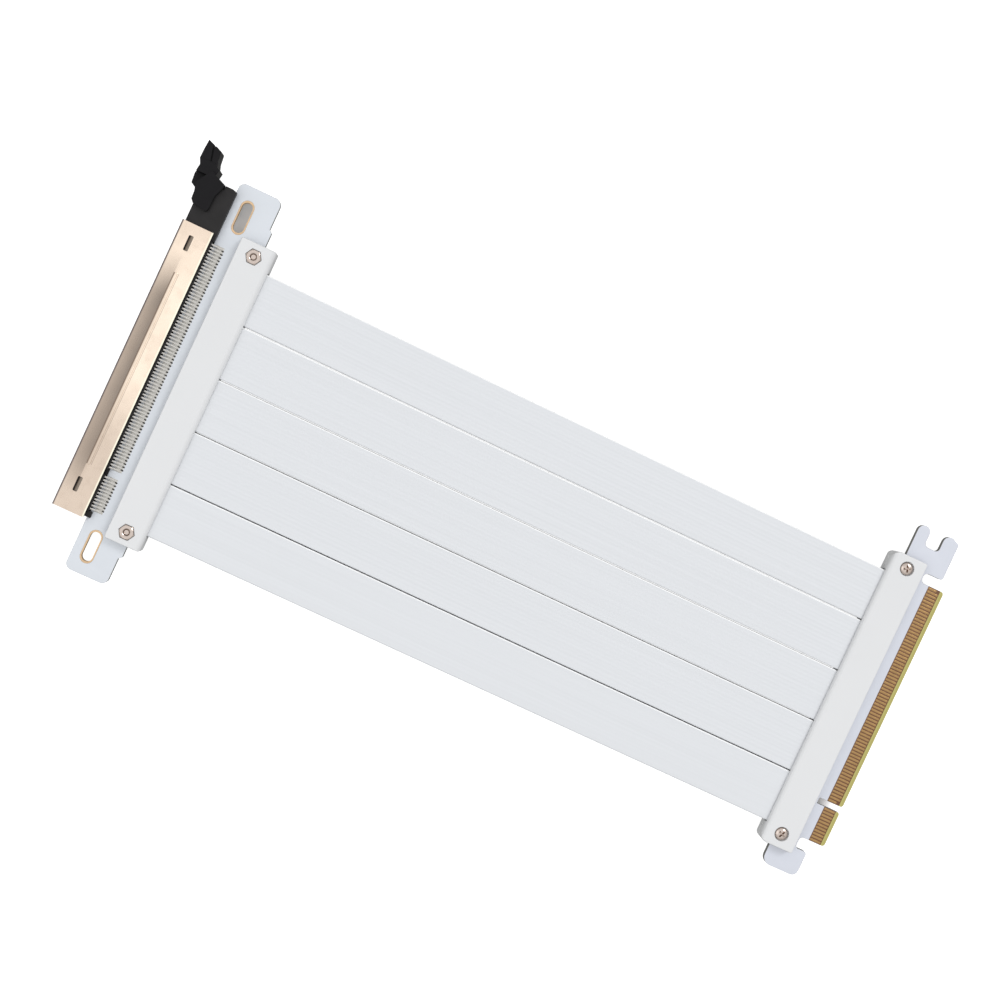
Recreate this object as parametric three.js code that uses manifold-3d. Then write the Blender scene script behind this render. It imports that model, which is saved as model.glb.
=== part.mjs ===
// Flat riser cable for a graphics card: a card-edge slot with a steel jacket and a swinging
// retention latch, two layers of five flat ribbons, and a gold-finger plug board with a forked ear.
// Millimetres, +Z up. X runs along the cable from slot to plug, Y across it, the part lies on z = 0.
import * as THREE from 'three';
import * as BufferGeometryUtils from 'three/addons/utils/BufferGeometryUtils.js';
import Module from 'manifold-3d';

const wasm = await Module();
wasm.setup();

// ---------------------------------------------------------------- driving dimensions
const CONTACT_PITCH = 1.0;            // both connectors
const ROW_HALF = 41.5;                // first and last contact, from the middle of the row
const KEY_Y = -30.0;                  // key, from the middle of the row
const LONG_GROUP = 71, SHORT_GROUP = 11;

const BOARD_T = 1.6;
const SLOT_MID_Z = 4.2;               // mid-plane of the slot board
const PLUG_MID_Z = 3.85;              // mid-plane of the plug board: its nuts stand on z = 0
const PLUG_X = 218.65;                // ribbon-side face of the plug cover
const PLUG_Y = -1.39;                 // the cable lies a little askew
const SLOT_COVER_X = 18.2;            // ribbon-side face of the slot cover

const COVER_W = 10.8, COVER_HALF_T = 3.5, COVER_EDGE = 0.4;
const COVER_WALL_RIBBON = 1.2, COVER_WALL_BOARD = 0.9;
const SCREW_X = 5.5;                  // from the ribbon-side face
const SLOT_COVER_HALF_Y = 47.15, SLOT_SCREW_Y = [43.2, -43.25];
const PLUG_COVER_HALF_Y = 47.58, PLUG_SCREW_Y = [43.78, -43.4];
const SCREW_R = 0.95, HEAD_R = 1.95, HEAD_H = 1.1;
const NUT_AF = 4.0, NUT_H = 1.2, NUT_BORE_R = 1.15;
const POCKET_FLOOR = 2.5, HOLE_R = 1.2;
const SLIT_TOP = 2.15;                // from the board's mid-plane

const RIBBONS = 5, RIBBON_PITCH = 16.57, RIBBON_W = 16.27, RIBBON_T = 0.85;
const RIBBON_Z = BOARD_T / 2 + 0.3 + RIBBON_T / 2;
const RIBBON_X0 = 9.3, RIBBON_X1 = 227.15;
const RIBBON_OFF_SLOT = -0.85, RIBBON_OFF_PLUG = -0.44;

const JACKET_X0 = -9.65, JACKET_X1 = -0.07, JACKET_HALF_Y = 44.4, JACKET_H = 8.4, JACKET_T = 0.3, JACKET_R = 0.6;
const BEAD_X = -4.95, BEAD_W = 1.05, BEAD_HALF_Y = 30.0, BEAD_H = 0.2;

const HOUSING_HALF_Y = 44.1, HOUSING_X0 = -9.05, CARD_SLOT_T = 1.9, CARD_SLOT_HALF_Y = 42.35, CARD_SLOT_X1 = -1.7;
const KEY_T = 1.7;
const EAR_Y1 = 58.1, EAR_Z0 = 1.3, EAR_Z1 = 7.1;
const LATCH_X = -6.8, LATCH_Y = 51.6, LATCH_PIN_R = 1.0, LATCH_BORE_R = 1.15;
const CHEEK_T = 0.9;

const ORIGIN = [-113.025, -3.94, 0];   // puts the middle of the model's box at x = y = 0

// ---------------------------------------------------------------- helpers
function solid(geometry) {
  let g = geometry.index ? geometry : geometry.clone();
  g.deleteAttribute('normal');
  g.deleteAttribute('uv');
  g = BufferGeometryUtils.mergeVertices(g, 1e-4);
  return new wasm.Manifold(new wasm.Mesh({
    numProp: 3,
    vertProperties: new Float32Array(g.attributes.position.array),
    triVerts: new Uint32Array(g.index.array),
  }));
}
function geometryOf(m) {
  const mesh = m.getMesh();
  const g = new THREE.BufferGeometry();
  g.setAttribute('position', new THREE.BufferAttribute(new Float32Array(mesh.vertProperties), 3));
  g.setIndex(new THREE.BufferAttribute(new Uint32Array(mesh.triVerts), 1));
  g.computeVertexNormals();
  return g;
}
function box(x0, x1, y0, y1, z0, z1) {
  const g = new THREE.BoxGeometry(x1 - x0, y1 - y0, z1 - z0);
  g.translate((x0 + x1) / 2, (y0 + y1) / 2, (z0 + z1) / 2);
  return solid(g);
}
function rounded(corners, seg = 5) {
  // corners: [x, y, radius]; returns points with each corner turned into an arc
  const out = [];
  const n = corners.length;
  for (let i = 0; i < n; i++) {
    const [x, y, r] = corners[i];
    const [px, py] = corners[(i + n - 1) % n];
    const [qx, qy] = corners[(i + 1) % n];
    if (!r) { out.push(new THREE.Vector2(x, y)); continue; }
    const a = new THREE.Vector2(px - x, py - y).normalize();
    const b = new THREE.Vector2(qx - x, qy - y).normalize();
    const half = Math.acos(Math.max(-1, Math.min(1, a.dot(b)))) / 2;
    const d = r / Math.tan(half);
    const c = a.clone().add(b).normalize().multiplyScalar(r / Math.sin(half)).add(new THREE.Vector2(x, y));
    const p0 = a.clone().multiplyScalar(d).add(new THREE.Vector2(x, y));
    const p1 = b.clone().multiplyScalar(d).add(new THREE.Vector2(x, y));
    let a0 = Math.atan2(p0.y - c.y, p0.x - c.x);
    let a1 = Math.atan2(p1.y - c.y, p1.x - c.x);
    while (a1 - a0 > Math.PI) a1 -= 2 * Math.PI;
    while (a1 - a0 < -Math.PI) a1 += 2 * Math.PI;
    for (let k = 0; k <= seg; k++) {
      const t = a0 + (a1 - a0) * k / seg;
      out.push(new THREE.Vector2(c.x + r * Math.cos(t), c.y + r * Math.sin(t)));
    }
  }
  return out;
}
function prismZ(points, z0, z1, holes = [], bevel = 0) {
  const s = new THREE.Shape(points);
  for (const h of holes) s.holes.push(new THREE.Path(h));
  const g = new THREE.ExtrudeGeometry(s, {
    depth: z1 - z0 - 2 * bevel, steps: 1, curveSegments: 8,
    bevelEnabled: bevel > 0, bevelThickness: bevel, bevelSize: bevel, bevelOffset: -bevel, bevelSegments: 2,
  });
  g.translate(0, 0, z0 + bevel);
  return solid(g);
}
function prismY(profile, y0, y1) {
  // profile points are (x, z); extruded along +Y
  const g = new THREE.ExtrudeGeometry(new THREE.Shape(profile.map(([x, z]) => new THREE.Vector2(x, -z))), {
    depth: y1 - y0, steps: 1, bevelEnabled: false,
  });
  g.rotateX(-Math.PI / 2);        // (x, -z, d) -> (x, d, z)
  g.translate(0, y0, 0);
  return solid(g);
}
function cyl(x, y, r, z0, z1, seg = 24) {
  const g = new THREE.CylinderGeometry(r, r, z1 - z0, seg, 1);
  g.rotateX(Math.PI / 2);
  g.translate(x, y, (z0 + z1) / 2);
  return solid(g);
}
function circle(x, y, r, seg = 24) {
  const p = [];
  for (let i = 0; i < seg; i++) p.push(new THREE.Vector2(x + r * Math.cos(2 * Math.PI * i / seg), y + r * Math.sin(2 * Math.PI * i / seg)));
  return p;
}
function stadiumY(x, y, w, l, seg = 10) {
  // slot outline with its long axis along Y
  const r = w / 2, h = l / 2 - r, p = [];
  for (let i = 0; i <= seg; i++) { const t = Math.PI * i / seg; p.push(new THREE.Vector2(x + r * Math.cos(t), y + h + r * Math.sin(t))); }
  for (let i = 0; i <= seg; i++) { const t = Math.PI + Math.PI * i / seg; p.push(new THREE.Vector2(x + r * Math.cos(t), y - h + r * Math.sin(t))); }
  return p;
}

const paint = (color, roughness, metalness = 0) => new THREE.MeshStandardMaterial({ color, roughness, metalness });
const whiteShell = () => paint(0xe6e7e9, 0.45);
const whiteBoard = () => paint(0xdadfe8, 0.35);
const whiteRibbon = () => paint(0xe4e5e8, 0.5);
const black = () => paint(0x242325, 0.55);
const steel = () => paint(0xd6c9ba, 0.28, 1);
const screwSteel = () => paint(0xb9b2a8, 0.3, 1);
const tinned = () => paint(0xb5b0aa, 0.35, 1);

const root = new THREE.Group();
root.position.set(...ORIGIN);
function add(parent, name, manifold, material) {
  const m = new THREE.Mesh(geometryOf(manifold), material);
  m.name = name;
  parent.add(m);
  return m;
}

// ---------------------------------------------------------------- slot end, absolute frame
const slotEnd = new THREE.Group();
root.add(slotEnd);

// slot board: white, two tabs with slotted holes, a shallow step on the ribbon side
{
  const cy = 0.43;
  const outline = rounded([
    [0.28, cy - 60.55, 2.0], [13.25, cy - 60.55, 2.0], [13.25, cy - 52.0, 0], [14.15, cy - 51.2, 0.3],
    [14.15, cy + 51.2, 0.3], [13.25, cy + 52.0, 0], [13.25, cy + 60.9, 2.0], [0.28, cy + 60.9, 2.0],
  ], 6);
  const holes = [
    stadiumY(4.95, 52.2, 3.3, 9.2), stadiumY(4.95, -51.6, 3.3, 9.1),
    circle(SLOT_COVER_X - SCREW_X, SLOT_SCREW_Y[0], HOLE_R), circle(SLOT_COVER_X - SCREW_X, SLOT_SCREW_Y[1], HOLE_R),
  ];
  add(slotEnd, 'slot_board', prismZ(outline, SLOT_MID_Z - BOARD_T / 2, SLOT_MID_Z + BOARD_T / 2, holes), whiteBoard());
}

// slot housing: moulded body with the card slot, its key, a rear lip over the board and a forked ear
{
  const zc = SLOT_MID_Z;
  let h = prismY([
    [HOUSING_X0, 0.6], [-0.35, 0.6], [-0.35, 1.65], [-1.5, 1.65], [-1.5, 2.8], [0.75, 2.8], [0.75, 3.1], [-0.05, 3.1],
    [-0.05, 5.3], [0.75, 5.3], [0.75, 5.6], [-1.5, 5.6], [-1.5, 6.75], [-0.35, 6.75], [-0.35, 7.8], [HOUSING_X0, 7.8],
  ], -HOUSING_HALF_Y, HOUSING_HALF_Y);
  // closed ends of the two contact channels, and the block that guides the board at the key end
  h = h.add(box(-1.6, 0.75, 42.3, HOUSING_HALF_Y, 1.3, 7.1));
  h = h.add(box(-1.6, 1.4, -HOUSING_HALF_Y, -42.3, 2.0, 6.4));
  // forked ear that carries the latch
  const ear = [
    [HOUSING_X0, 43.9], [0.8, 43.9], [0.8, 57.75], [-0.4, EAR_Y1], [-2.6, EAR_Y1], [-2.6, 56.8], [-9.0, 56.8], [-9.0, 44.8], [HOUSING_X0, 44.6],
  ].map(([x, y]) => new THREE.Vector2(x, y));
  h = h.add(prismZ(ear, EAR_Z0, EAR_Z1));
  h = h.subtract(box(-10, -1.8, 46.2, 60, zc - 1.1, zc + 1.1));            // gap of the fork
  h = h.subtract(box(-0.05, 3, -46, 60, zc - 1.1, zc + 1.1));              // groove for the board's edge
  h = h.subtract(cyl(LATCH_X, LATCH_Y, LATCH_BORE_R, 0, 9));
  // card slot with its key and a lead-in
  const half = CARD_SLOT_T / 2;
  const mouth = [[HOUSING_X0 - 0.5, zc - half - 0.35], [HOUSING_X0, zc - half - 0.35], [HOUSING_X0 + 0.7, zc - half], [CARD_SLOT_X1, zc - half],
    [CARD_SLOT_X1, zc + half], [HOUSING_X0 + 0.7, zc + half], [HOUSING_X0, zc + half + 0.35], [HOUSING_X0 - 0.5, zc + half + 0.35]];
  h = h.subtract(prismY(mouth, -CARD_SLOT_HALF_Y, KEY_Y - KEY_T / 2));
  h = h.subtract(prismY(mouth, KEY_Y + KEY_T / 2, CARD_SLOT_HALF_Y));
  add(slotEnd, 'slot_housing', h, black());
}

// jacket: one folded sheet round the housing, open at the back, with the mouth and four windows cut out
{
  const a = [], b = [];
  const arc = (list, cx, cz, r, t0, t1) => { for (let k = 0; k <= 4; k++) { const t = (t0 + (t1 - t0) * k / 4) * Math.PI / 180; list.push([cx + r * Math.cos(t), cz + r * Math.sin(t)]); } };
  a.push([JACKET_X1, JACKET_H]);
  arc(a, JACKET_X0 + JACKET_R, JACKET_H - JACKET_R, JACKET_R, 90, 180);
  arc(a, JACKET_X0 + JACKET_R, JACKET_R, JACKET_R, 180, 270);
  a.push([JACKET_X1, 0]);
  const ri = JACKET_R - JACKET_T;
  b.push([JACKET_X1, JACKET_T]);
  arc(b, JACKET_X0 + JACKET_R, JACKET_R, ri, 270, 180);
  arc(b, JACKET_X0 + JACKET_R, JACKET_H - JACKET_R, ri, 180, 90);
  b.push([JACKET_X1, JACKET_H - JACKET_T]);
  let j = prismY([...a, ...b], -JACKET_HALF_Y, JACKET_HALF_Y);
  j = j.subtract(box(JACKET_X0 - 1, JACKET_X0 + 0.5, -42.6, 42.6, SLOT_MID_Z - 1.6, SLOT_MID_Z + 1.6));
  for (const [y0, y1] of [[36.5, 41.1], [-38.5, -34.1]]) {
    const w = rounded([[-6.0, y0, 0.3], [-4.6, y0, 0.3], [-4.6, y1, 0.3], [-6.0, y1, 0.3]], 3);
    j = j.subtract(prismZ(w, -1, 10));
  }
  const bead = stadiumY(BEAD_X, 0, BEAD_W, 2 * BEAD_HALF_Y, 8);
  j = j.add(prismZ(bead, JACKET_H - 0.25, JACKET_H + BEAD_H + 0.0, [], 0).intersect(
    prismZ(bead, JACKET_H - 1.0, JACKET_H + BEAD_H, [], 0.18)));
  add(slotEnd, 'slot_jacket', j, steel());
}

// latch: two cheeks outside the ear, a hook plate inside its fork, a pin, a shoulder and a split thumb tab
{
  const V = (l) => l.map(([x, y]) => new THREE.Vector2(x, y));
  const cheek = V([
    [-4.8, 49.05], [-4.4, 49.5], [-4.25, 50.4], [-4.15, 53.9], [-2.65, 58.0], [-6.25, 59.5], [-7.65, 60.35],
    [-10.45, 55.7], [-10.45, 54.95], [-10.15, 53.8], [-9.95, 53.0], [-9.8, 50.7], [-8.95, 49.7], [-6.0, 49.3],
  ]);
  const hook = V([
    [-4.9, 49.2], [-4.5, 49.6], [-4.35, 50.4], [-4.25, 53.9], [-4.6, 57.2], [-6.6, 58.8], [-12.2, 59.6], [-12.6, 58.0],
    [-12.35, 55.1], [-10.8, 54.2], [-10.4, 53.2], [-9.9, 50.7], [-9.0, 49.8], [-6.1, 49.4],
  ]);
  const shoulder = V([[-6.35, 58.6], [-6.35, 59.55], [-6.05, 61.3], [-7.0, 61.9], [-8.0, 62.5], [-12.6, 62.4], [-11.75, 60.55], [-12.05, 58.6]]);
  const tab = V([[-6.9, 61.5], [-7.5, 63.4], [-7.8, 66.3], [-9.7, 67.1], [-10.15, 66.3], [-10.35, 67.25], [-12.3, 68.0], [-12.55, 65.1], [-12.6, 62.3], [-12.0, 61.2]]);
  const groove = V([[-10.5, 67.6], [-10.0, 67.6], [-9.9, 66.3], [-9.05, 62.7], [-9.5, 62.6], [-10.4, 66.3]]);
  const zc = SLOT_MID_Z, top = EAR_Z1 + 0.3, bot = EAR_Z0 - 0.3;
  let l = prismZ(cheek, top, top + CHEEK_T).add(prismZ(cheek, bot - CHEEK_T, bot));
  l = l.add(prismZ(hook, zc - 0.8, zc + 0.8));
  l = l.add(prismZ(shoulder, bot - 0.25, top + 0.25, [], 0.2));
  l = l.add(prismZ(tab, bot, top, [], 0.35));
  l = l.subtract(prismZ(groove, top - 0.6, top + 1)).subtract(prismZ(groove, bot - 1, bot + 0.6));
  l = l.add(cyl(LATCH_X, LATCH_Y, LATCH_PIN_R, bot - 0.5, top + 0.5));
  add(slotEnd, 'slot_latch', l, black());
}

// contact rows: the tails that leave the housing and reach down to the board, joined by a web that
// lies out of sight in the housing's channel
{
  const teeth = [];
  for (let i = 0; i < SHORT_GROUP; i++) teeth.push(-ROW_HALF + i * CONTACT_PITCH);
  for (let i = 0; i < LONG_GROUP; i++) teeth.push(KEY_Y + 1.5 + i * CONTACT_PITCH);
  const pts = [new THREE.Vector2(-1.2, -42.0), new THREE.Vector2(-0.8, -42.0)];
  for (const y of teeth) {
    pts.push(new THREE.Vector2(-0.8, y - 0.24), new THREE.Vector2(4.3, y - 0.24), new THREE.Vector2(4.3, y + 0.24), new THREE.Vector2(-0.8, y + 0.24));
  }
  pts.push(new THREE.Vector2(-0.8, 42.0), new THREE.Vector2(-1.2, 42.0));
  const g = new THREE.ExtrudeGeometry(new THREE.Shape(pts), { depth: 0.25, steps: 1, bevelEnabled: false });
  const slope = -1.03 / 5.5, z0 = 2.15 - 0.125;
  // sheared in Z so that the row runs straight down from the channel to just above the board
  const shear = new THREE.Matrix4().set(1, 0, 0, 0, 0, 1, 0, 0, slope, 0, 1, z0 + 1.2 * slope, 0, 0, 0, 1);
  g.applyMatrix4(shear);
  const upper = new THREE.Mesh(geometryOf(solid(g.clone())), tinned());
  upper.name = 'contact_row_top';
  upper.position.z = SLOT_MID_Z;
  const lower = new THREE.Mesh(geometryOf(solid(g.clone())), tinned());
  lower.name = 'contact_row_bottom';
  lower.rotation.x = Math.PI;
  lower.position.z = SLOT_MID_Z;
  lower.position.y = 0;
  // turned over about X the row would carry its key on the wrong side, so the tooth pattern is mirrored first
  const gm = geometryOf(solid(g.clone()));
  const p = gm.attributes.position;
  for (let i = 0; i < p.count; i++) p.setY(i, -p.getY(i));
  const idx = gm.index.array;
  for (let i = 0; i < idx.length; i += 3) { const t = idx[i]; idx[i] = idx[i + 1]; idx[i + 1] = t; }
  gm.computeVertexNormals();
  lower.geometry = gm;
  slotEnd.add(upper, lower);
}

// ---------------------------------------------------------------- clamshell covers
// cover frame: x = 0 at the ribbon-side face, x grows towards the board side, z = 0 at the board's
// mid-plane; this makes the upper half, the lower half is its mirror image
function coverHalf({ halfY, screwY, planR, edgeR, ribbonOff, boardEdge, pocket }) {
  const t = COVER_HALF_T;
  const plan = rounded([[0, -halfY, planR], [COVER_W, -halfY, 0.6], [COVER_W, halfY, 0.6], [0, halfY, planR]], 5);
  let c = prismZ(plan, -4, t, [], COVER_EDGE);
  c = c.subtract(box(-1, 20, -60, 60, -5, 0.15));
  // long rounded edge on the ribbon side
  const prof = [[0, 0]];
  for (let k = 0; k <= 6; k++) { const a = Math.PI - (Math.PI / 2) * k / 6; prof.push([edgeR + edgeR * Math.cos(a), t - edgeR + edgeR * Math.sin(a)]); }
  prof.push([20, t + 0.01], [20, 0]);
  prof[prof.length - 2] = [20, t];
  c = c.intersect(prismY(prof, -60, 60));
  const y0 = ribbonOff - 41.6, y1 = ribbonOff + 41.6;
  c = c.subtract(box(COVER_WALL_RIBBON, COVER_W - COVER_WALL_BOARD, y0, y1, -1, SLIT_TOP));      // cavity
  c = c.subtract(box(-1, COVER_WALL_RIBBON + 0.1, y0, y1, -1, SLIT_TOP));                         // slit for the ribbons
  c = c.subtract(box(boardEdge - 0.3, COVER_W + 1, -60, 60, -1, BOARD_T / 2 + 0.3));              // room for the board
  for (const y of screwY) {
    c = c.subtract(cyl(SCREW_X, y, HOLE_R, -1, 5));
    if (pocket === 'hex') {
      const r = (NUT_AF + 0.3) / Math.sqrt(3);
      c = c.subtract(prismZ(circle(SCREW_X, y, r, 6), POCKET_FLOOR, 5));
    } else c = c.subtract(cyl(SCREW_X, y, HEAD_R + 0.25, POCKET_FLOOR, 5, 32));
  }
  return c;
}
function nut() {
  let n = prismZ(circle(0, 0, NUT_AF / Math.sqrt(3), 6), 0, NUT_H);
  // corners turned off by 30 degrees at the outer face
  const cone = new THREE.CylinderGeometry(NUT_AF / 2 - 0.05, NUT_AF / 2 - 0.05 + 1.2 / Math.tan(Math.PI / 6), 1.2, 36, 1);
  cone.rotateX(Math.PI / 2);
  cone.translate(0, 0, NUT_H - 0.6);
  n = n.intersect(solid(cone));
  return n.subtract(cyl(0, 0, NUT_BORE_R, -1, 3));
}
function screw() {
  // head towards +z, underside of the head at z = 0
  const pts = [[0, -6.3], [SCREW_R - 0.25, -6.3], [SCREW_R, -6.05], [SCREW_R, 0], [HEAD_R, 0], [HEAD_R, 0.45]];
  for (let k = 1; k <= 5; k++) { const a = (Math.PI / 2) * k / 5; pts.push([k === 5 ? 0 : HEAD_R * Math.cos(a) ** 0.8, 0.45 + (HEAD_H - 0.45) * Math.sin(a)]); }
  const g = new THREE.LatheGeometry(pts.map(([r, y]) => new THREE.Vector2(r, y)), 28);
  g.rotateX(Math.PI / 2);
  let s = solid(g);
  s = s.subtract(box(-0.95, 0.95, -0.2, 0.2, HEAD_H - 0.62, 3)).subtract(box(-0.2, 0.2, -0.95, 0.95, HEAD_H - 0.62, 3));
  return s;
}

// a cover assembly: x runs from the ribbon side to the board side
function clamp(parent, prefix, o, nutsOnTop) {
  const top = coverHalf({ ...o, pocket: nutsOnTop ? 'hex' : 'round' });
  const bottom = coverHalf({ ...o, pocket: nutsOnTop ? 'round' : 'hex' });
  add(parent, `${prefix}_cover_top`, top, whiteShell());
  add(parent, `${prefix}_cover_bottom`, bottom.mirror([0, 0, 1]), whiteShell());
  for (const [tag, y] of [['a', o.screwY[0]], ['b', o.screwY[1]]]) {
    const m = new THREE.Mesh(geometryOf(screw()), screwSteel());
    m.name = `${prefix}_screw_${tag}`;
    m.position.set(SCREW_X, y, (POCKET_FLOOR + 0.15) * (nutsOnTop ? -1 : 1));
    if (nutsOnTop) m.rotation.x = Math.PI;
    m.rotation.z = y > 0 ? 0.35 : 1.1;
    parent.add(m);
    const n = new THREE.Mesh(geometryOf(nut()), screwSteel());
    n.name = `${prefix}_nut_${tag}`;
    n.position.set(SCREW_X, y, (POCKET_FLOOR + 0.15) * (nutsOnTop ? 1 : -1));
    if (!nutsOnTop) n.rotation.x = Math.PI;
    parent.add(n);
  }
}

// slot cover: its x runs back towards the slot
{
  const g = new THREE.Group();
  g.position.set(SLOT_COVER_X, 0, SLOT_MID_Z);
  slotEnd.add(g);
  // built in the frame where x grows towards the board, then turned half a turn about Z
  g.rotation.z = Math.PI;
  clamp(g, 'slot', { halfY: SLOT_COVER_HALF_Y, screwY: SLOT_SCREW_Y.map((y) => -y), planR: 0.6, edgeR: 1.7, ribbonOff: -RIBBON_OFF_SLOT, boardEdge: SLOT_COVER_X - 14.15 }, true);
}

// ---------------------------------------------------------------- plug end
const plugEnd = new THREE.Group();
plugEnd.position.set(PLUG_X, PLUG_Y, PLUG_MID_Z);
root.add(plugEnd);
clamp(plugEnd, 'plug', { halfY: PLUG_COVER_HALF_Y, screwY: PLUG_SCREW_Y, planR: 2.2, edgeR: 1.4, ribbonOff: RIBBON_OFF_PLUG, boardEdge: 3.9 }, false);

// plug board: tongue with key notch, forked ear on one side, plain ear on the other
{
  const outline = rounded([
    [4.35, -53.83, 2.5], [15.85, -53.83, 2.0], [15.85, -45.77, 1.0], [11.95, -45.77, 0.9], [11.95, -42.1, 1.2], [20.0, -42.1, 0.9],
    [20.0, KEY_Y - 0.93, 0.8], [12.15, KEY_Y - 0.93, 0.2], [12.15, KEY_Y + 0.93, 0.2], [20.0, KEY_Y + 0.93, 0.8],
    [20.0, 42.1, 0.9], [11.95, 42.1, 1.2], [11.95, 45.24, 1.2], [17.75, 45.24, 0.8],
    [17.75, 56.9, 0.8], [15.2, 57.98, 0.3], [12.9, 57.98, 1.85], [12.9, 52.3, 1.2], [8.2, 52.3, 1.4], [8.2, 57.98, 1.85], [4.35, 57.98, 1.85], [4.35, 46.5, 0], [3.9, 46.5, 0], [3.9, -46.5, 0], [4.35, -46.5, 0],
  ], 5);
  const holes = PLUG_SCREW_Y.map((y) => circle(SCREW_X, y, HOLE_R));
  const h = BOARD_T / 2;
  let b = prismZ(outline, -h, h, holes);
  // bevelled leading edge of the tongue
  const y0 = -43, y1 = 43;
  b = b.subtract(prismY([[18.6, h], [21.2, h - 0.8], [21.2, h + 1], [18.6, h + 1]], y0, y1));
  b = b.subtract(prismY([[18.6, -h], [18.6, -h - 1], [21.2, -h - 1], [21.2, -h + 0.8]], y0, y1));
  add(plugEnd, 'plug_board', b, whiteBoard());
}

// ---------------------------------------------------------------- ribbons: two layers of five
{
  const span = PLUG_X - SLOT_COVER_X;
  for (const [layer, s] of [['top', 1], ['bottom', -1]]) {
    for (let i = 0; i < RIBBONS; i++) {
      const yc = (2 - i) * RIBBON_PITCH;
      const ys = yc + RIBBON_OFF_SLOT, yp = yc + RIBBON_OFF_PLUG + PLUG_Y;
      const zs = SLOT_MID_Z + s * RIBBON_Z, zp = PLUG_MID_Z + s * RIBBON_Z;
      const r = RIBBON_T / 2, w = RIBBON_W / 2 - r;
      // section in (y, z) with round edges, extruded along X, then laid along its slightly skewed run
      const sec = [];
      for (let k = 0; k <= 6; k++) { const a = -Math.PI / 2 + Math.PI * k / 6; sec.push(new THREE.Vector2(w + r * Math.cos(a), r * Math.sin(a))); }
      for (let k = 0; k <= 6; k++) { const a = Math.PI / 2 + Math.PI * k / 6; sec.push(new THREE.Vector2(-w + r * Math.cos(a), r * Math.sin(a))); }
      const g = new THREE.ExtrudeGeometry(new THREE.Shape(sec), { depth: RIBBON_X1 - RIBBON_X0, steps: 1, bevelEnabled: false });
      // shape x -> Y, shape y -> Z, depth -> X
      g.applyMatrix4(new THREE.Matrix4().set(0, 0, 1, RIBBON_X0, 1, 0, 0, 0, 0, 1, 0, 0, 0, 0, 0, 1));
      const my = (yp - ys) / span, mz = (zp - zs) / span;
      g.applyMatrix4(new THREE.Matrix4().set(1, 0, 0, 0, my, 1, 0, ys - my * SLOT_COVER_X, mz, 0, 1, zs - mz * SLOT_COVER_X, 0, 0, 0, 1));
      add(root, `ribbon_${layer}_${i + 1}`, solid(g), whiteRibbon());
    }
  }
}

export default root;
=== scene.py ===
import bpy
import bmesh
import math
import random
from mathutils import Matrix, Vector


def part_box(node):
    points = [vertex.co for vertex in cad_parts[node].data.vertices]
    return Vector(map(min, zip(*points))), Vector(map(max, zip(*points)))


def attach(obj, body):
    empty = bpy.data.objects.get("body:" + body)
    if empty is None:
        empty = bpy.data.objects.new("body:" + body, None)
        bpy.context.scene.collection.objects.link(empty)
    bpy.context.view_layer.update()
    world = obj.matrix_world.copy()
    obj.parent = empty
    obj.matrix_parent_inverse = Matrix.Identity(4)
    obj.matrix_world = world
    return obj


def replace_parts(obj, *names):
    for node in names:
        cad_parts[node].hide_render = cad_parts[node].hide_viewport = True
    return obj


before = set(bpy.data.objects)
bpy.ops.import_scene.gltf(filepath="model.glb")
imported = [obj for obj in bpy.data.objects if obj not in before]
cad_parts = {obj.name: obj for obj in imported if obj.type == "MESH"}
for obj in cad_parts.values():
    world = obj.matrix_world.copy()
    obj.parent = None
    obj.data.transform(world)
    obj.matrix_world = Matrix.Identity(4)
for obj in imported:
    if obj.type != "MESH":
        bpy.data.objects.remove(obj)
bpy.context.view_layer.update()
random.seed(11)

# ------------------------------------------------------------------ shared sizes, millimetres
# The drawing frame has x = 0 at the slot jacket's rear edge and y = 0 at the middle of the slot's
# contact row; OX and OY carry it into the row frame.
_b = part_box("slot_board")[0]
OX, OY = _b.x * 1000 - 0.28, _b.y * 1000 + 60.12
BOARD_T = 1.6
SLOT_Z = 4.2
PLUG_Z = 3.85
PLUG_X, PLUG_Y = 218.65, -1.39
COVER_X = 18.2
KEY_Y = -30.0
RIBBON_PITCH, RIBBON_W, RIBBON_T = 16.57, 16.27, 0.85
RIBBON_DZ = BOARD_T / 2 + 0.3 + RIBBON_T / 2
RIBBON_X0, RIBBON_X1 = 9.3, 227.15
CONTACT_Y = [-41.5 + i for i in range(11)] + [KEY_Y + 1.5 + i for i in range(71)]


def W(x, y, z):
    return Vector(((x + OX) / 1000, (y + OY) / 1000, z / 1000))


# ------------------------------------------------------------------ camera
def make_camera():
    a, b, c = -0.437184, 0.0489185, 0.0620901
    rz = Matrix(((math.cos(a), -math.sin(a), 0), (math.sin(a), math.cos(a), 0), (0, 0, 1)))
    rx = Matrix(((1, 0, 0), (0, math.cos(b), -math.sin(b)), (0, math.sin(b), math.cos(b))))
    ry = Matrix(((math.cos(c), 0, math.sin(c)), (0, 1, 0), (-math.sin(c), 0, math.cos(c))))
    rot = (rx @ ry @ rz).transposed().to_4x4()
    data = bpy.data.cameras.new("camera")
    data.lens = 50
    data.sensor_width = 36
    data.sensor_fit = "AUTO"
    data.clip_start = 0.005
    data.clip_end = 20
    cam = bpy.data.objects.new("camera", data)
    bpy.context.scene.collection.objects.link(cam)
    cam.matrix_world = Matrix.Translation(W(74.784, 17.341, 409.249)) @ rot
    bpy.context.scene.camera = cam


make_camera()

# ------------------------------------------------------------------ light and floor
scene = bpy.context.scene
scene.view_settings.view_transform = "Standard"
scene.view_settings.look = "None"
scene.view_settings.exposure = 0.0
scene.view_settings.gamma = 1.0


def lin(r, g, b):
    def f(v):
        v /= 255.0
        return v / 12.92 if v <= 0.04045 else ((v + 0.055) / 1.055) ** 2.4
    return (f(r), f(g), f(b), 1.0)


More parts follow.
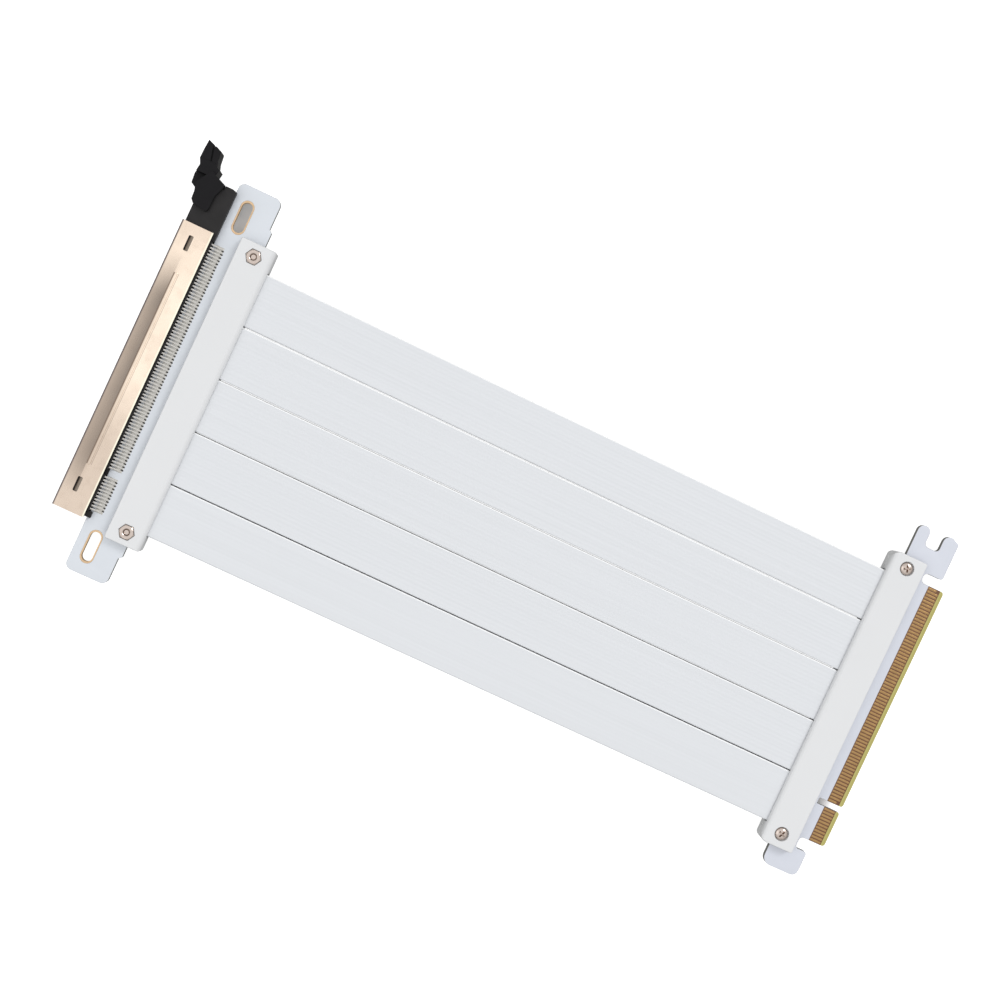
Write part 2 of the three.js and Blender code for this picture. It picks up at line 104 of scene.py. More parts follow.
def make_world():
    world = bpy.data.worlds.new("studio")
    scene.world = world
    world.use_nodes = True
    nt = world.node_tree
    nt.nodes.clear()
    out = nt.nodes.new("ShaderNodeOutputWorld")
    bg = nt.nodes.new("ShaderNodeBackground")
    tc = nt.nodes.new("ShaderNodeTexCoord")
    sep = nt.nodes.new("ShaderNodeSeparateXYZ")
    ramp = nt.nodes.new("ShaderNodeValToRGB")
    ramp.color_ramp.elements[0].position = 0.0
    ramp.color_ramp.elements[0].color = (0.33, 0.33, 0.32, 1)
    ramp.color_ramp.elements[1].position = 1.0
    ramp.color_ramp.elements[1].color = (1.0, 1.0, 1.0, 1)
    mid = ramp.color_ramp.elements.new(0.42)
    mid.color = (0.70, 0.70, 0.70, 1)
    nt.links.new(tc.outputs["Generated"], sep.inputs[0])
    nt.links.new(sep.outputs["Z"], ramp.inputs[0])
    nt.links.new(ramp.outputs[0], bg.inputs[0])
    bg.inputs[1].default_value = 1.15
    nt.links.new(bg.outputs[0], out.inputs[0])


make_world()


def sun(name, azimuth, elevation, strength, angle, colour=(1, 1, 1)):
    # azimuth: from +X towards +Y, the side the light comes from
    data = bpy.data.lights.new(name, "SUN")
    data.energy = strength
    data.angle = math.radians(angle)
    data.color = colour
    o = bpy.data.objects.new(name, data)
    scene.collection.objects.link(o)
    a, e = math.radians(azimuth), math.radians(elevation)
    d = Vector((math.cos(a) * math.cos(e), math.sin(a) * math.cos(e), math.sin(e)))
    o.rotation_mode = "QUATERNION"
    o.rotation_quaternion = d.to_track_quat("Z", "Y")
    return o


sun("key", 56, 40, 0.85, 20)
sun("fill", 196, 42, 0.34, 50)


# ------------------------------------------------------------------ materials
class Mat:
    """A small builder for a node material: noise-driven colour, roughness and bump."""

    def __init__(self, name):
        self.m = bpy.data.materials.new(name)
        self.m.use_nodes = True
        self.nt = self.m.node_tree
        self.bsdf = next(n for n in self.nt.nodes if n.type == "BSDF_PRINCIPLED")
        self._pos = None

    def node(self, kind, **props):
        n = self.nt.nodes.new(kind)
        for k, v in props.items():
            setattr(n, k, v)
        return n

    def link(self, a, b):
        self.nt.links.new(a, b)

    def set(self, **values):
        for k, v in values.items():
            self.bsdf.inputs[k.replace("_", " ")].default_value = v

    def pos(self, scale=(1, 1, 1)):
        """Object coordinates in metres, stretched by scale."""
        if self._pos is None:
            self._pos = self.node("ShaderNodeTexCoord")
        mp = self.node("ShaderNodeMapping")
        mp.inputs["Scale"].default_value = scale
        self.link(self._pos.outputs["Object"], mp.inputs["Vector"])
        return mp.outputs[0]

    def noise(self, scale, detail=2.0, rough=0.5, stretch=(1, 1, 1)):
        n = self.node("ShaderNodeTexNoise")
        n.inputs["Scale"].default_value = scale
        n.inputs["Detail"].default_value = detail
        n.inputs["Roughness"].default_value = rough
        self.link(self.pos(stretch), n.inputs["Vector"])
        return n.outputs["Fac"]

    def ramp(self, fac, stops, interpolation="LINEAR"):
        r = self.node("ShaderNodeValToRGB")
        r.color_ramp.interpolation = interpolation
        els = r.color_ramp.elements
        while len(els) < len(stops):
            els.new(0.5)
        for e, (p, c) in zip(els, stops):
            e.position = p
            e.color = c if len(c) == 4 else (*c, 1)
        self.link(fac, r.inputs[0])
        return r.outputs[0]

    def math(self, op, a, b=None, c=None, clamp=False):
        n = self.node("ShaderNodeMath", operation=op, use_clamp=clamp)
        for i, v in enumerate((a, b, c)):
            if v is None:
                continue
            if isinstance(v, (int, float)):
                n.inputs[i].default_value = v
            else:
                self.link(v, n.inputs[i])
        return n.outputs[0]

    def map(self, v, a, b, c, d, smooth=False):
        n = self.node("ShaderNodeMapRange")
        if smooth:
            n.interpolation_type = "SMOOTHSTEP"
        n.inputs["From Min"].default_value = a
        n.inputs["From Max"].default_value = b
        n.inputs["To Min"].default_value = c
        n.inputs["To Max"].default_value = d
        self.link(v, n.inputs["Value"])
        return n.outputs[0]

    def mix(self, fac, a, b, blend="MIX"):
        n = self.node("ShaderNodeMix", data_type="RGBA", blend_type=blend)
        for sock, v in ((n.inputs[0], fac), (n.inputs[6], a), (n.inputs[7], b)):
            if isinstance(v, (int, float)):
                sock.default_value = v
            elif isinstance(v, tuple):
                sock.default_value = v if len(v) == 4 else (*v, 1)
            else:
                self.link(v, sock)
        return n.outputs[2]

    def xyz(self):
        s = self.node("ShaderNodeSeparateXYZ")
        self.link(self.pos(), s.inputs[0])
        return s.outputs

    def bump(self, height, strength, distance):
        b = self.node("ShaderNodeBump")
        b.inputs["Strength"].default_value = strength
        b.inputs["Distance"].default_value = distance
        self.link(height, b.inputs["Height"])
        self.link(b.outputs[0], self.bsdf.inputs["Normal"])

    def colour(self, c):
        self.link(c, self.bsdf.inputs["Base Color"])

    def rough(self, r):
        self.link(r, self.bsdf.inputs["Roughness"])


def scaled(c, k):
    return tuple(min(1.0, v * k) for v in c[:3]) + (1.0,)


def white_plastic(name, base, rough, grain, bump=0.12):
    m = Mat(name)
    cloud = m.noise(38, 3, 0.55)
    fine = m.noise(grain, 2, 0.6)
    m.colour(m.mix(m.math("MULTIPLY", fine, 0.35), m.ramp(cloud, [(0.3, scaled(base, 0.985)), (0.7, scaled(base, 1.012))]), scaled(base, 0.975)))
    m.rough(m.map(fine, 0.3, 0.7, rough - 0.05, rough + 0.07))
    m.bump(fine, bump, 0.00003)
    m.set(IOR=1.46)
    return m.m


def ribbon_material(name, base):
    m = Mat(name)
    # long soft streaks along the extrusion, with a finer set over them
    streak = m.noise(1.0, 2, 0.5, (9, 900, 200))
    hair = m.noise(1.0, 2, 0.6, (30, 3600, 900))
    cloud = m.noise(16, 2, 0.5)
    grain = m.noise(4200, 2, 0.5)
    c = m.ramp(streak, [(0.32, scaled(base, 0.982)), (0.5, base), (0.68, scaled(base, 1.016))])
    c = m.mix(m.map(hair, 0.35, 0.65, 0.0, 0.25), c, scaled(base, 0.97))
    c = m.mix(m.map(cloud, 0.3, 0.7, 0.0, 0.3), c, scaled(base, 0.985))
    # painted highlight: a paler line along each ribbon's +Y edge, where the key light catches the rounded edge
    p = m.xyz()
    skew = m.math("MULTIPLY", m.math("SUBTRACT", p["X"], (OX + COVER_X) / 1000), 0.00489)
    t = m.math("ADD", m.math("DIVIDE", m.math("ADD", m.math("SUBTRACT", p["Y"], OY / 1000 - 0.00085), skew), RIBBON_PITCH / 1000), 10.5)
    c = m.mix(m.map(m.math("FRACT", t), 0.970, 0.977, 0.0, 0.9), c, (0.90, 0.90, 0.905))
    m.colour(c)
    m.rough(m.map(streak, 0.3, 0.7, 0.46, 0.58))
    m.bump(m.math("ADD", m.math("MULTIPLY", hair, 0.6), m.math("MULTIPLY", grain, 0.4)), 0.14, 0.00003)
    m.set(IOR=1.45)
    return m.m


def mask_material(name, base):
    m = Mat(name)
    weave = m.node("ShaderNodeTexVoronoi", feature="F1")
    weave.inputs["Scale"].default_value = 900
    m.link(m.pos(), weave.inputs["Vector"])
    cloud = m.noise(60, 3, 0.6)
    m.colour(m.ramp(cloud, [(0.3, scaled(base, 0.975)), (0.7, scaled(base, 1.015))]))
    m.rough(m.map(cloud, 0.3, 0.7, 0.30, 0.42))
    m.bump(m.math("ADD", m.math("MULTIPLY", weave.outputs["Distance"], 0.5), cloud), 0.08, 0.00004)
    m.set(IOR=1.5)
    return m.m


def laminate_material(name, light, dark, rough=0.6):
    """The cut edge of the board: thin glass layers along the thickness."""
    m = Mat(name)
    layers = m.node("ShaderNodeTexWave", wave_type="BANDS", bands_direction="Z")
    layers.inputs["Scale"].default_value = 900
    layers.inputs["Distortion"].default_value = 2.5
    layers.inputs["Detail"].default_value = 2
    m.link(m.pos(), layers.inputs["Vector"])
    specks = m.noise(5200, 3, 0.7)
    c = m.mix(m.map(layers.outputs["Fac"], 0.2, 0.8, 0.0, 0.55), light, dark)
    m.colour(m.mix(m.map(specks, 0.45, 0.75, 0.0, 0.5), c, scaled(light, 1.15)))
    m.rough(m.map(specks, 0.3, 0.7, rough - 0.1, rough + 0.15))
    m.bump(specks, 0.3, 0.00003)
    m.set(IOR=1.5)
    return m.m


def black_plastic(name, base, rough, lift=1.6, spec=0.5):
    m = Mat(name)
    grain = m.noise(3800, 3, 0.6)
    cloud = m.noise(260, 3, 0.6)
    c = m.ramp(cloud, [(0.3, base), (0.72, scaled(base, lift))])
    m.colour(m.mix(m.map(grain, 0.5, 0.8, 0.0, 0.5), c, scaled(base, 2.0)))
    m.rough(m.map(grain, 0.3, 0.7, rough - 0.07, rough + 0.1))
    m.bump(grain, 0.35, 0.00004)
    m.set(IOR=1.45, Specular_IOR_Level=spec)
    return m.m


def steel_material(name, base, rough, stretch=(200, 5200, 5200), amount=0.06, metal=1.0):
    m = Mat(name)
    brush = m.noise(1.0, 3, 0.6, stretch)
    cloud = m.noise(90, 3, 0.6)
    m.colour(m.mix(m.map(cloud, 0.3, 0.7, 0.0, 0.5), m.ramp(brush, [(0.3, scaled(base, 1 - amount)), (0.7, base)]), scaled(base, 0.93)))
    m.rough(m.map(brush, 0.3, 0.7, rough - 0.05, rough + 0.07))
    m.bump(brush, 0.15, 0.00002)
    m.set(Metallic=metal)
    return m.m


def jacket_material():
    """Thin rolled steel, warm in tone, with a painted reflection that is brighter from the middle towards +Y, and
    painted shade towards the -Y end and left of the bead.
    """
    m = Mat("jacket_steel_fine")
    s = m.xyz()
    x0, y0 = OX / 1000, OY / 1000
    brush = m.noise(1.0, 3, 0.6, (5200, 130, 3000))
    cloud = m.noise(70, 3, 0.55)
    spots = m.noise(420, 2, 0.5)
    bright, mid, deep = lin(249, 231, 212), lin(214, 197, 181), lin(186, 168, 152)
    # painted reflection: duller towards the -Y end, bright from the middle towards +Y
    down = m.map(s["Y"], y0 - 0.046, y0 + 0.046, 0.0, 1.0)
    along = m.ramp(down, [(0.0, mid), (0.22, mid), (0.5, bright), (0.86, bright), (1.0, lin(236, 217, 199))], "EASE")
    # painted shade left of the bead, fading out towards both ends, and a painted grey reflection that is strongest
    # beside the bead
    side = m.map(s["X"], x0 - 0.0062, x0 - 0.0040, 1.0, 0.0, True)
    ends = m.math("MULTIPLY", m.map(down, 0.04, 0.25, 0.0, 1.0, True), m.map(down, 0.72, 0.9, 1.0, 0.0, True))
    c = m.mix(m.math("MULTIPLY", m.math("MULTIPLY", side, ends), 0.75), along, deep)
    grey = m.math("MULTIPLY", m.map(s["X"], x0 - 0.0100, x0 - 0.0053, 0.35, 1.0), m.math("LESS_THAN", s["X"], x0 - 0.00548))
    c = m.mix(m.math("MULTIPLY", m.math("MULTIPLY", grey, ends), 0.97), c, lin(126, 116, 108))
    c = m.mix(m.map(cloud, 0.35, 0.65, 0.0, 0.22), c, deep)
    # the pressed bead: painted shade, a dark line down its left flank and a fainter dark hairline down its right one
    inside = m.math("LESS_THAN", m.math("ABSOLUTE", m.math("SUBTRACT", s["Y"], y0)), 0.0298)
    for cx, half, k in ((-5.40, 0.00026, 0.85), (-4.08, 0.00012, 0.45)):
        near = m.map(m.math("ABSOLUTE", m.math("SUBTRACT", s["X"], x0 + cx / 1000)), half * 0.5, half, 1.0, 0.0)
        c = m.mix(m.math("MULTIPLY", m.math("MULTIPLY", near, inside), k), c, lin(112, 96, 84))
    # painted shade along the fold at the mouth, and a painted highlight along the cut edge at the rear
    c = m.mix(m.map(s["X"], x0 - 0.00918, x0 - 0.00902, 0.92, 0.0), c, lin(108, 98, 96))
    c = m.mix(m.map(s["X"], x0 - 0.00060, x0 - 0.00035, 0.0, 0.8), c, (1.0, 0.97, 0.80))
    c = m.mix(m.map(spots, 0.5, 0.75, 0.0, 0.12), c, lin(150, 130, 112))
    m.colour(c)
    m.rough(m.map(brush, 0.3, 0.7, 0.24, 0.36))
    m.bump(brush, 0.10, 0.00002)
    m.set(Metallic=1.0)
    return m.m


def gold_material(name, base, rough=0.33):
    m = Mat(name)
    cloud = m.noise(700, 3, 0.6)
    scratch = m.noise(1.0, 3, 0.7, (400, 9000, 9000))
    m.colour(m.mix(m.map(scratch, 0.5, 0.8, 0.0, 0.35), m.ramp(cloud, [(0.3, scaled(base, 0.9)), (0.7, scaled(base, 1.08))]), scaled(base, 0.7)))
    m.rough(m.map(cloud, 0.3, 0.7, rough - 0.06, rough + 0.1))
    m.bump(scratch, 0.2, 0.00002)
    m.set(Metallic=1.0)
    return m.m


SHELL = white_plastic("shell_white_fine", (0.655, 0.662, 0.672, 1), 0.42, 2600)
RIBBON = ribbon_material("ribbon_white_fine", (0.640, 0.656, 0.680, 1))
MASK = mask_material("mask_white_fine", (0.610, 0.640, 0.682, 1))
MASK_PLUG = mask_material("mask_white_plug_fine", (0.580, 0.602, 0.665, 1))
EDGE = laminate_material("laminate_edge", (0.20, 0.20, 0.185, 1), (0.11, 0.11, 0.10, 1))
BARE = laminate_material("laminate_bare", (0.54, 0.53, 0.50, 1), (0.46, 0.45, 0.42, 1), 0.5)
# near-black strips put between the toes of the pads
GAP = laminate_material("toe_dark_strip", (0.035, 0.033, 0.030, 1), (0.02, 0.018, 0.016, 1), 0.5)
COMB = laminate_material("laminate_between_fingers", (0.150, 0.060, 0.018, 1), (0.095, 0.038, 0.013, 1), 0.5)
BEVEL = laminate_material("laminate_bevel", (0.42, 0.38, 0.12, 1), (0.33, 0.29, 0.085, 1), 0.5)
HOUSING = black_plastic("housing_black_fine", (0.0100, 0.0092, 0.0095, 1), 0.5, spec=0.30)
LATCH = black_plastic("latch_black_fine", (0.0052, 0.0048, 0.0058, 1), 0.46, 1.4, spec=0.16)
JACKET = jacket_material()
STEEL = steel_material("screw_steel_fine", lin(206, 192, 183), 0.22, (2500, 2500, 2500), 0.14)
LANCE = steel_material("jacket_lance_fine", lin(128, 118, 108), 0.40, (2500, 300, 2500), 0.10)
TIN = steel_material("tinned_fine", lin(200, 197, 192), 0.50, (900, 900, 900), 0.10, metal=0.35)
SOLDER = steel_material("solder_fine", lin(203, 201, 195), 0.50, (700, 700, 700), 0.14, metal=0.3)
GOLD = gold_material("gold_finger_fine", (0.390, 0.240, 0.105, 1))
RING = gold_material("gold_ring_fine", (0.66, 0.47, 0.29, 1), 0.4)
SPRING = gold_material("gold_spring_fine", (0.80, 0.58, 0.25, 1), 0.3)


# ------------------------------------------------------------------ mesh helpers
def finish_mesh(me, smooth=35):
    me.polygons.foreach_set("use_smooth", [True] * len(me.polygons))
    me.set_sharp_from_angle(angle=math.radians(smooth))


def obj_from(name, verts, faces, mats, body="cable", face_mats=None, smooth=35, clean=True):
    """verts are Vectors in the row frame, in metres."""
    me = bpy.data.meshes.new(name)
    me.from_pydata([tuple(v) for v in verts], [], faces)
    me.validate()
    for m in mats:
        me.materials.append(m)
    if face_mats:
        me.polygons.foreach_set("material_index", face_mats)
    if clean:
        bm = bmesh.new()
        bm.from_mesh(me)
        bmesh.ops.recalc_face_normals(bm, faces=bm.faces)
        bm.to_mesh(me)
        bm.free()
    finish_mesh(me, smooth)
    o = bpy.data.objects.new(name, me)
    scene.collection.objects.link(o)
    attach(o, body)
    return o


def join_lists(parts):
    verts, faces, mats = [], [], []
    for v, f, mi in parts:
        base = len(verts)
        verts += v
        faces += [tuple(i + base for i in q) for q in f]
        mats += mi if isinstance(mi, list) else [mi] * len(f)
    return verts, faces, mats


def sweep(sections, closed_ends=True):
    """sections: a list of equal-length rings of points; returns verts and faces of the closed skin."""
    n = len(sections[0])
    verts = [p for ring in sections for p in ring]
    faces = []
    for i in range(len(sections) - 1):
        for j in range(n):
            k = (j + 1) % n
            faces.append((i * n + j, i * n + k, (i + 1) * n + k, (i + 1) * n + j))
    if closed_ends:
        faces.append(tuple(range(n - 1, -1, -1)))
        faces.append(tuple((len(sections) - 1) * n + j for j in range(n)))
    return verts, faces


def rounded(corners, seg=8):
    out = []
    n = len(corners)
    for i in range(n):
        x, y, r = corners[i]
        if not r:
            out.append((x, y))
            continue
        px, py, _ = corners[i - 1]
        qx, qy, _ = corners[(i + 1) % n]
        a = Vector((px - x, py - y)).normalized()
        b = Vector((qx - x, qy - y)).normalized()
        half = math.acos(max(-1, min(1, a.dot(b)))) / 2
        d = r / math.tan(half)
        c = (a + b).normalized() * (r / math.sin(half)) + Vector((x, y))
        p0, p1 = a * d + Vector((x, y)), b * d + Vector((x, y))
        a0, a1 = math.atan2(p0.y - c.y, p0.x - c.x), math.atan2(p1.y - c.y, p1.x - c.x)
        while a1 - a0 > math.pi:
            a1 -= 2 * math.pi
        while a1 - a0 < -math.pi:
            a1 += 2 * math.pi
        for k in range(seg + 1):
            t = a0 + (a1 - a0) * k / seg
            out.append((c.x + r * math.cos(t), c.y + r * math.sin(t)))
    return out


def stadium(x, y, w, l, seg=16):
    r, h, p = w / 2, l / 2 - w / 2, []
    for k in range(seg + 1):
        t = math.pi * k / seg
        p.append((x + r * math.cos(t), y + h + r * math.sin(t)))
    for k in range(seg + 1):
        t = math.pi + math.pi * k / seg
        p.append((x + r * math.cos(t), y - h + r * math.sin(t)))
    return p


def circle(x, y, r, seg=32):
    return [(x + r * math.cos(2 * math.pi * k / seg), y + r * math.sin(2 * math.pi * k / seg)) for k in range(seg)]


def plate(name, outline, holes, z0, z1, bevel, mats, body="cable", side_mat=None, place=W):
    """A flat plate of any outline with holes and softly rounded edges."""
    cu = bpy.data.curves.new(name + "_c", "CURVE")
    cu.dimensions = "2D"
    cu.fill_mode = "BOTH"
    for ring in [outline] + list(holes):
        sp = cu.splines.new("POLY")
        sp.points.add(len(ring) - 1)
        for q, (x, y) in zip(sp.points, ring):
            q.co = (x, y, 0, 1)
        sp.use_cyclic_u = True
    cu.extrude = (z1 - z0) / 2 - bevel
    cu.bevel_depth = bevel
    cu.bevel_resolution = 2
    cu.offset = -bevel
    tmp = bpy.data.objects.new(name + "_t", cu)
    scene.collection.objects.link(tmp)
    dg = bpy.context.evaluated_depsgraph_get()
    me = bpy.data.meshes.new_from_object(tmp.evaluated_get(dg))
    bpy.data.objects.remove(tmp)
    bpy.data.curves.remove(cu)
    bm = bmesh.new()
    bm.from_mesh(me)
    bmesh.ops.remove_doubles(bm, verts=bm.verts, dist=1e-4)
    bmesh.ops.recalc_face_normals(bm, faces=bm.faces)
    zc = (z0 + z1) / 2
    for v in bm.verts:
        v.co = place(v.co.x, v.co.y, v.co.z + zc)
    bm.normal_update()
    bm.to_mesh(me)
    bm.free()
    me.name = name
    me.materials.clear()
    for m in mats:
        me.materials.append(m)
    if side_mat is not None:
        idx = [side_mat if abs(p.normal.z) < 0.5 else 0 for p in me.polygons]
    else:
        idx = [0] * len(me.polygons)
    me.polygons.foreach_set("material_index", idx)
    finish_mesh(me, 30)
    o = bpy.data.objects.new(name, me)
    scene.collection.objects.link(o)
    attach(o, body)
    return o


def refine(node, mats, bevel=0.12, angle=32, body="cable", segments=2, name=None, picker=None):
    """A finer skin of a construction piece: its flat faces are merged and its sharp edges are eased."""
    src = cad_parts[node]
    me = src.data.copy()
    me.name = (name or node) + "_fine"
    bm = bmesh.new()
    bm.from_mesh(me)
    bmesh.ops.remove_doubles(bm, verts=bm.verts, dist=2e-7)
    bmesh.ops.dissolve_limit(bm, angle_limit=math.radians(0.6), use_dissolve_boundaries=False,
                             verts=bm.verts, edges=bm.edges, delimit=set())
    bmesh.ops.recalc_face_normals(bm, faces=bm.faces)
    bm.to_mesh(me)
    bm.free()
    for attr in [a.name for a in me.attributes if a.name.startswith("custom_normal")]:
        me.attributes.remove(me.attributes[attr])
    me.materials.clear()
    for m in mats:
        me.materials.append(m)
    me.polygons.foreach_set("material_index", [0] * len(me.polygons))
    o = bpy.data.objects.new((name or node) + "_fine", me)
    scene.collection.objects.link(o)
    if bevel:
        mod = o.modifiers.new("ease", "BEVEL")
        mod.width = bevel / 1000
        mod.segments = segments
        mod.limit_method = "ANGLE"
        mod.angle_limit = math.radians(angle)
        mod.use_clamp_overlap = True
        mod.harden_normals = False
        mod.miter_outer = "MITER_ARC"
        dg = bpy.context.evaluated_depsgraph_get()
        done = bpy.data.meshes.new_from_object(o.evaluated_get(dg))
        o.modifiers.clear()
        o.data = done
        done.name = (name or node) + "_fine"
    if picker:
        o.data.polygons.foreach_set("material_index", [picker(p.center, p.normal) for p in o.data.polygons])
    finish_mesh(o.data, 40)
    wn = o.modifiers.new("normals", "WEIGHTED_NORMAL")
    wn.keep_sharp = True
    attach(o, body)
    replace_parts(o, node)
    return o


# ------------------------------------------------------------------ covers
for end in ("slot", "plug"):
    for side in ("top", "bottom"):
        refine(f"{end}_cover_{side}", [SHELL], 0.14, 34)


# ------------------------------------------------------------------ ribbons
def ribbon(layer, s, i):
    yc = (2 - i) * RIBBON_PITCH
    ys, yp = yc - 0.85, yc - 0.44 + PLUG_Y
    zs, zp = SLOT_Z + s * RIBBON_DZ, PLUG_Z + s * RIBBON_DZ
    r = RIBBON_T / 2
    w = RIBBON_W / 2 - r
    rng = random.Random(100 * i + (7 if s > 0 else 9))
    ph = [rng.uniform(0, 6.28) for _ in range(6)]
    ribs = 0.014 if i < 4 else 0.004
    pts = []
    n = 104
    # top face from +w to -w, round edge, bottom face back, round edge
    for k in range(n + 1):
        y = w - 2 * w * k / n
        fade = min(1.0, (w - abs(y)) / 0.8)
        pts.append((y, r + fade * (ribs * math.cos(2 * math.pi * y / 1.21 + ph[0]) - ribs), 1))
    for k in range(1, 10):
        t = math.pi / 2 + math.pi * k / 10
        pts.append((-w + r * math.cos(t), r * math.sin(t), 0))
    for k in range(n + 1):
        y = -w + 2 * w * k / n
        fade = min(1.0, (w - abs(y)) / 0.8)
        pts.append((y, -r - fade * (ribs * math.cos(2 * math.pi * y / 1.21 + ph[1]) - ribs), -1))
    for k in range(1, 10):
        t = -math.pi / 2 + math.pi * k / 10
        pts.append((w + r * math.cos(t), r * math.sin(t), 0))
    span = PLUG_X - COVER_X
    rings = []
    m = 46
    for a in range(m + 1):
        x = RIBBON_X0 + (RIBBON_X1 - RIBBON_X0) * a / m
        f = (x - COVER_X) / span
        y0, z0 = ys + (yp - ys) * f, zs + (zp - zs) * f
        env = max(0.0, min(1.0, f * 12, (1 - f) * 12))
        wob = env * 0.045 * math.sin(x / 31 + ph[2]) + env * 0.03 * math.sin(x / 13.5 + ph[3])
        roll = env * 0.0022 * math.sin(x / 44 + ph[4])
        rings.append([W(x, y0 + y, z0 + z + wob + roll * y) for (y, z, _) in pts])
    v, fcs = sweep(rings)
    return obj_from(f"ribbon_{layer}_{i + 1}_fine", v, fcs, [RIBBON], smooth=60)


for layer, s in (("top", 1), ("bottom", -1)):
    for i in range(5):
        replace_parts(ribbon(layer, s, i), f"ribbon_{layer}_{i + 1}")


# ------------------------------------------------------------------ slot board
def slot_board():
    cy = 0.43
    outline = rounded([
        (0.28, cy - 60.55, 2.0), (13.25, cy - 60.55, 2.0), (13.25, cy - 52.0, 0), (14.15, cy - 51.2, 0.3),
        (14.15, cy + 51.2, 0.3), (13.25, cy + 52.0, 0), (13.25, cy + 60.9, 2.0), (0.28, cy + 60.9, 2.0)], 10)
    inner = rounded([
        (0.32, cy - 60.51, 2.0), (13.21, cy - 60.51, 2.0), (13.21, cy - 52.0, 0), (14.11, cy - 51.2, 0.3),
        (14.11, cy + 51.2, 0.3), (13.21, cy + 52.0, 0), (13.21, cy + 60.86, 2.0), (0.32, cy + 60.86, 2.0)], 10)
    slots = [stadium(4.95, 52.2, 3.3, 9.2), stadium(4.95, -51.6, 3.3, 9.1)]
    rings = [stadium(4.95, 52.2, 4.10, 10.36), stadium(4.95, -51.6, 4.10, 10.26)]
    screws = [circle(COVER_X - 5.5, 43.2, 1.2), circle(COVER_X - 5.5, -43.25, 1.2)]
    core = plate("slot_board_core", outline, slots + screws, SLOT_Z - 0.8, SLOT_Z + 0.8, 0.03, [EDGE])
    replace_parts(core, "slot_board")
    # bare strips in the mask under the tails, one for each group of contacts
    wins = [[(1.55, -42.0), (3.98, -42.0), (3.98, -31.05), (1.55, -31.05)],
            [(1.55, -28.95), (3.98, -28.95), (3.98, 42.0), (1.55, 42.0)]]
    for tag, za, zb in (("top", SLOT_Z + 0.775, SLOT_Z + 0.825), ("bottom", SLOT_Z - 0.825, SLOT_Z - 0.775)):
        plate(f"slot_mask_{tag}", inner, rings + wins + screws, za, zb, 0.012, [MASK])
        s = 1 if tag == "top" else -1
        for k, w in enumerate(wins):
            z = SLOT_Z + s * 0.8
            plate(f"slot_bare_strip_{tag}_{k + 1}", [(w[0][0] - 0.02, w[0][1] - 0.02), (w[1][0] + 0.02, w[1][1] - 0.02),
                  (w[2][0] + 0.02, w[2][1] + 0.02), (w[3][0] - 0.02, w[3][1] + 0.02)], [],
                  min(z - 0.01 * s, z + 0.012 * s), max(z - 0.01 * s, z + 0.012 * s), 0.003, [BARE])
        for k, (hy, hl) in enumerate(((52.2, 9.2), (-51.6, 9.1))):
            z = SLOT_Z + s * 0.8
            plate(f"hole_ring_{tag}_{k + 1}", stadium(4.95, hy, 4.02, hl + 1.08), [stadium(4.95, hy, 3.24, hl - 0.06)],
                  min(z - 0.02 * s, z + 0.035 * s), max(z - 0.02 * s, z + 0.035 * s), 0.012, [RING])
    for k, (hy, hl) in enumerate(((52.2, 9.2), (-51.6, 9.1))):
        plate(f"hole_plating_{k + 1}", stadium(4.95, hy, 3.35, hl + 0.05), [stadium(4.95, hy, 3.22, hl - 0.08)],
              SLOT_Z - 0.82, SLOT_Z + 0.82, 0.01, [RING])


slot_board()


# ------------------------------------------------------------------ contact tails with their solder
def ring4(x, y, z, w, t, dx=0.0, dz=1.0):
    """A rounded bar section at (x, y, z): w wide in Y, t thick along (dx, dz)."""
    hw, ht = w / 2, t / 2
    c = 0.28
    pts = [(-hw, -ht * (1 - c)), (-hw * (1 - c), -ht), (hw * (1 - c), -ht), (hw, -ht * (1 - c)),
           (hw, ht * (1 - c)), (hw * (1 - c), ht), (-hw * (1 - c), ht), (-hw, ht * (1 - c))]
    return [(x + b * dx, y + a, z + b * dz) for a, b in pts]


def tails(side):
    s = 1 if side == "top" else -1
    parts = []
    rng = random.Random(5 if s > 0 else 6)
    for y in CONTACT_Y:
        j = rng.uniform(-0.03, 0.03)
        k = rng.uniform(0.95, 1.05)
        # the pin: out of the housing, down to the board, along the pad
        path = [(-1.2, 2.02), (-0.2, 2.02), (0.45, 1.98), (0.95, 1.78), (1.5, 1.40), (2.0, 1.08), (2.35, 0.98), (2.7, 0.96), (3.35, 0.96), (3.62, 0.98)]
        widths = [0.46, 0.46, 0.46, 0.46, 0.44, 0.44, 0.44, 0.44, 0.42, 0.36]
        secs = []
        for i, ((x, z), w) in enumerate(zip(path, widths)):
            a = path[max(0, i - 1)]
            b = path[min(len(path) - 1, i + 1)]
            tx, tz = b[0] - a[0], b[1] - a[1]
            q = math.hypot(tx, tz)
            ring = ring4(x, y + j * 0.5, SLOT_Z + s * z, w, 0.25, -tz / q * s * s, tx / q * s)
            secs.append([W(*p) for p in ring])
        v, f = sweep(secs)
        parts.append((v, f, 0))
        # solder: a low mound that is widest at the heel and hollow at the toe
        mound = [(1.95, 0.30, 0.06), (2.15, 0.62, 0.22), (2.45, 0.84, 0.27), (2.85, 0.82, 0.26), (3.15, 0.66, 0.22), (3.5, 0.58, 0.20), (3.82, 0.54, 0.12), (3.95, 0.44, 0.05)]
        secs = []
        for x, w, h in mound:
            w *= k
            pr = []
            for t in range(9):
                a = math.pi * t / 8
                pr.append((y + j + w / 2 * math.cos(a), 0.79 + 0.02 + h * math.sin(a) ** 0.8))
            pr.append((y + j - w / 2, 0.79))
            pr.append((y + j + w / 2, 0.79))
            secs.append([W(x, p[0], SLOT_Z + s * p[1]) for p in pr])
        v, f = sweep(secs)
        parts.append((v, f, 1))
    v, f, m = join_lists(parts)
    o = obj_from(f"contact_tails_{side}", v, f, [TIN, SOLDER], face_mats=m, smooth=50)
    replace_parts(o, f"contact_row_{side}")


tails("top")
tails("bottom")


